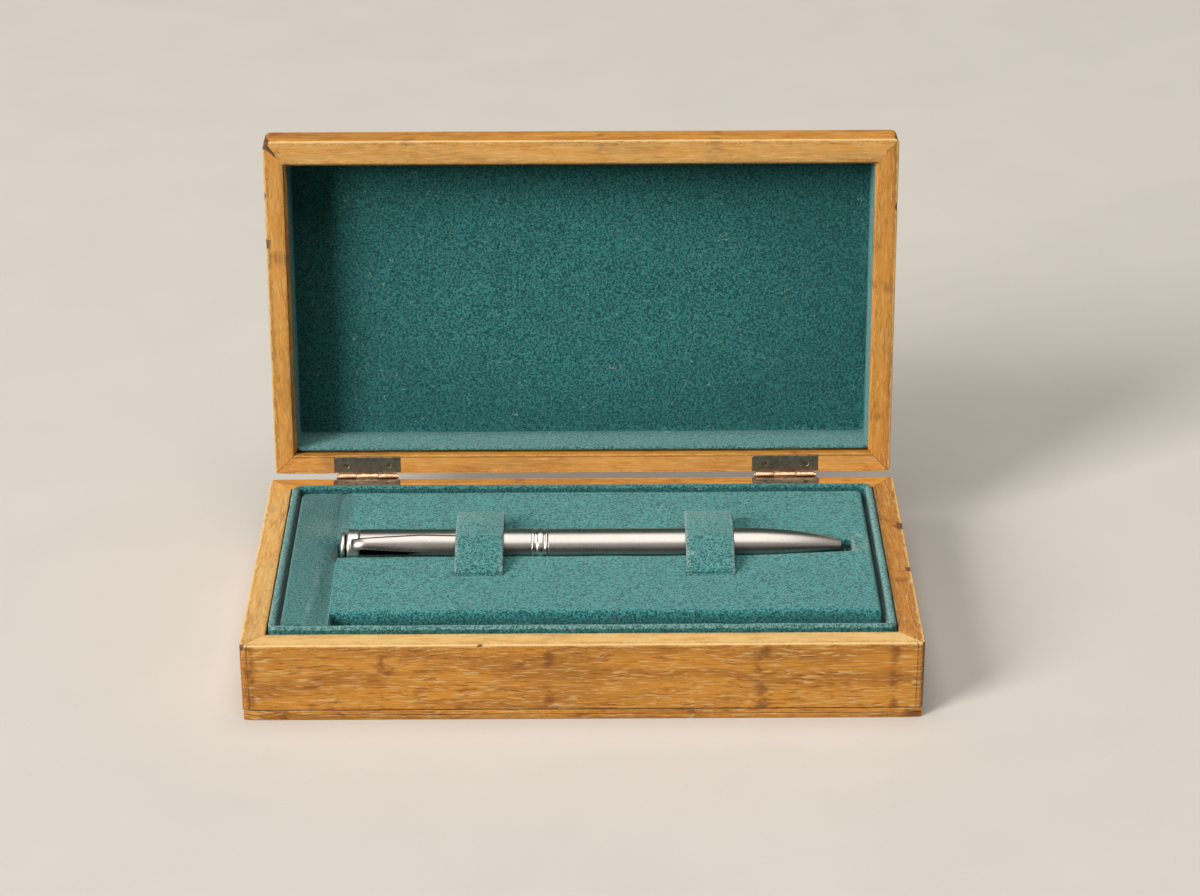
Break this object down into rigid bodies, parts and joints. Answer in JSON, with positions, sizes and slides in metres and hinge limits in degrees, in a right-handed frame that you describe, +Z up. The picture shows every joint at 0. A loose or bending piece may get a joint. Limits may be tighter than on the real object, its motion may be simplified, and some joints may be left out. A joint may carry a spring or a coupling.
{
  "type": "pen box",
  "caption": "Hinged wooden pen box with a flocked lining, a strapped insert and a twist-action metal pen, stored open.",
  "frame": {"origin": "centre of the underside of the base", "axes": "+Z up, +X to the right along the front, -Y towards the front; the lid is hinged along the back"},
  "size_m": [0.18, 0.1265, 0.1223],
  "materials": {
    "honey_wood": "satin varnish, worn at the edges",
    "grey_board": "plain board",
    "strap_cloth": "flocked elastic",
    "teal_flock": "flocked",
    "screw_brass": "dull",
    "dark_leaf": "dark bronze, satin",
    "hinge_brass": "rose brass, satin",
    "pen_satin": "satin, brushed round",
    "pen_polished": "polished",
    "mechanism": "plain",
    "refill_brass": "plain"
  },
  "bodies": {
    "base": {"base_front_wall": "honey_wood", "base_back_wall": "honey_wood", "base_left_wall": "honey_wood", "base_right_wall": "honey_wood", "base_bottom_board": "honey_wood", "base_lining_front": "teal_flock", "base_lining_back": "teal_flock", "base_lining_left": "teal_flock", "base_lining_right": "teal_flock", "base_lining_floor": "teal_flock", "insert_board": "grey_board", "insert_pad": "teal_flock", "strap_left": "strap_cloth", "strap_right": "strap_cloth", "hinge_left_base_leaf": "hinge_brass", "hinge_right_base_leaf": "hinge_brass", "hinge_left_pin": "hinge_brass", "hinge_right_pin": "hinge_brass", "hinge_screws_base": "screw_brass"},
    "lid": {"lid_front_wall": "honey_wood", "lid_back_wall": "honey_wood", "lid_left_wall": "honey_wood", "lid_right_wall": "honey_wood", "lid_top_panel": "honey_wood", "lid_lining_panel": "teal_flock", "lid_lining_front": "teal_flock", "lid_lining_back": "teal_flock", "lid_lining_left": "teal_flock", "lid_lining_right": "teal_flock", "hinge_left_lid_leaf": "dark_leaf", "hinge_right_lid_leaf": "dark_leaf", "hinge_screws_lid": "screw_brass"},
    "pen_upper": {"pen_finial": "pen_polished", "pen_cap_tube": "pen_satin", "pen_clip": "pen_polished", "pen_centre_band": "pen_polished", "pen_twist_housing": "mechanism"},
    "pen_lower": {"pen_barrel": "pen_satin", "pen_twist_drive": "mechanism"},
    "pen_refill_unit": {"pen_refill": "refill_brass"}
  },
  "joints": [
    {"name": "lid_hinge", "type": "hinge", "parent": "base", "child": "lid", "pos_m": [0, 0.0507, 0.02243], "axis": [1, 0, 0], "range_deg": [0, 95]},
    {"name": "pen_lift", "type": "slide", "parent": "base", "child": "pen_upper", "axis": [0, 0, 1], "range_m": [0, 0.006], "deforming": ["strap_left", "strap_right"]},
    {"name": "pen_twist", "type": "hinge", "parent": "pen_upper", "child": "pen_lower", "pos_m": [0, 0.0043, 0.02325], "axis": [1, 0, 0], "range_deg": [0, 180]},
    {"name": "refill_feed", "type": "slide", "parent": "pen_upper", "child": "pen_refill_unit", "axis": [1, 0, 0], "range_m": [0, 0.0024]}
  ],
  "couplings": [
    {"joint": "refill_feed", "follows": "pen_twist", "m_per_rad": 0.00076394}
  ]
}
